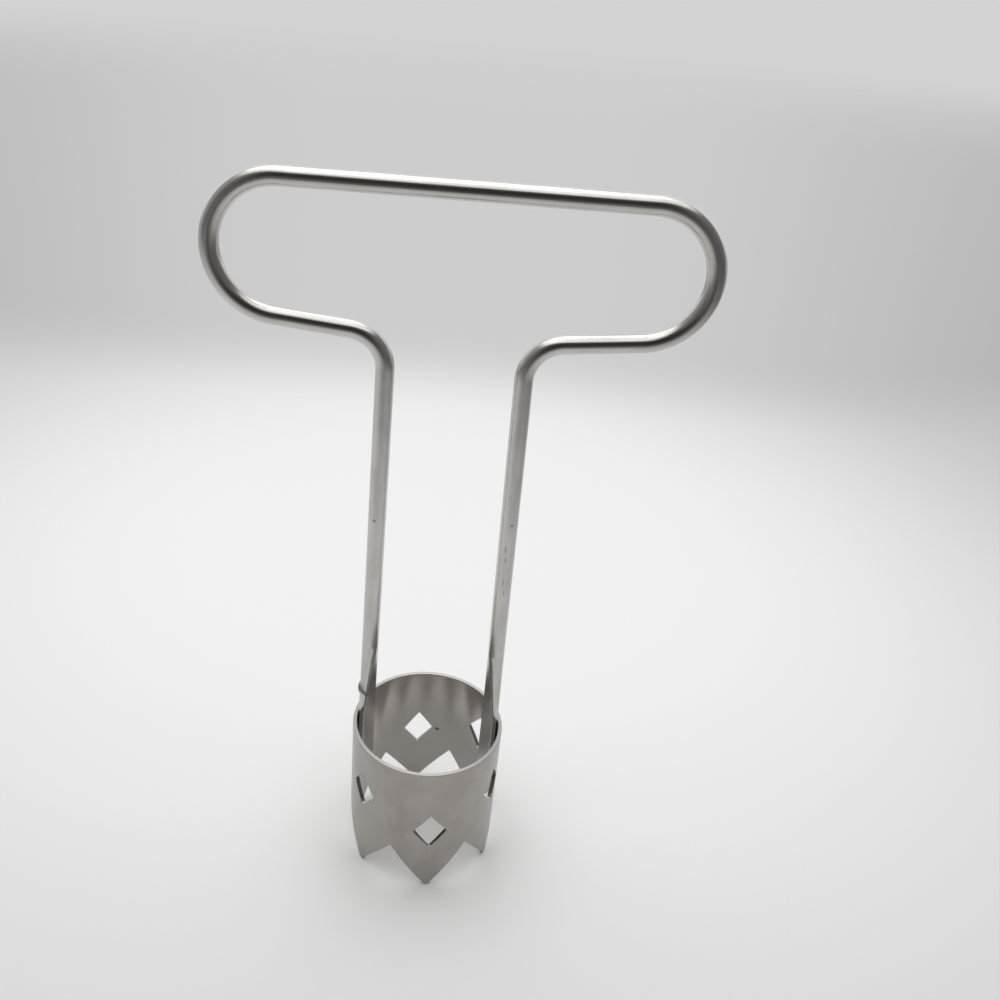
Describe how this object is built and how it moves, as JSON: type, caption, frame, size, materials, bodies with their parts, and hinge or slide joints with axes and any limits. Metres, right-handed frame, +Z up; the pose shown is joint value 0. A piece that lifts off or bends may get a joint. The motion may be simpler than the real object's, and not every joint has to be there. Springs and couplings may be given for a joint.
{
  "type": "fruit corer",
  "caption": "Hand fruit corer: a short toothed steel tube with diamond holes, carried by a bent rod that forms a closed T handle.",
  "frame": {"origin": "on the tube's axis, in the plane of the tooth tips that it stands on", "axes": "+Z up along the tube's axis towards the handle, X along the handle's top bar, the front faces -Y"},
  "size_m": [0.1044, 0.0376, 0.1692],
  "materials": {
    "tube_steel": "rolled stainless sheet, softly brushed round the tube, with bare sheared edges at the teeth",
    "rod_steel": "drawn stainless rod, bright, with fine marks along its length and dull pressed ends",
    "weld_steel": "spot weld, dull grey"
  },
  "bodies": {
    "root": {"cutter_tube": "tube_steel", "handle_rod": "rod_steel", "left_weld": "weld_steel", "right_weld": "weld_steel"}
  },
  "joints": []
}
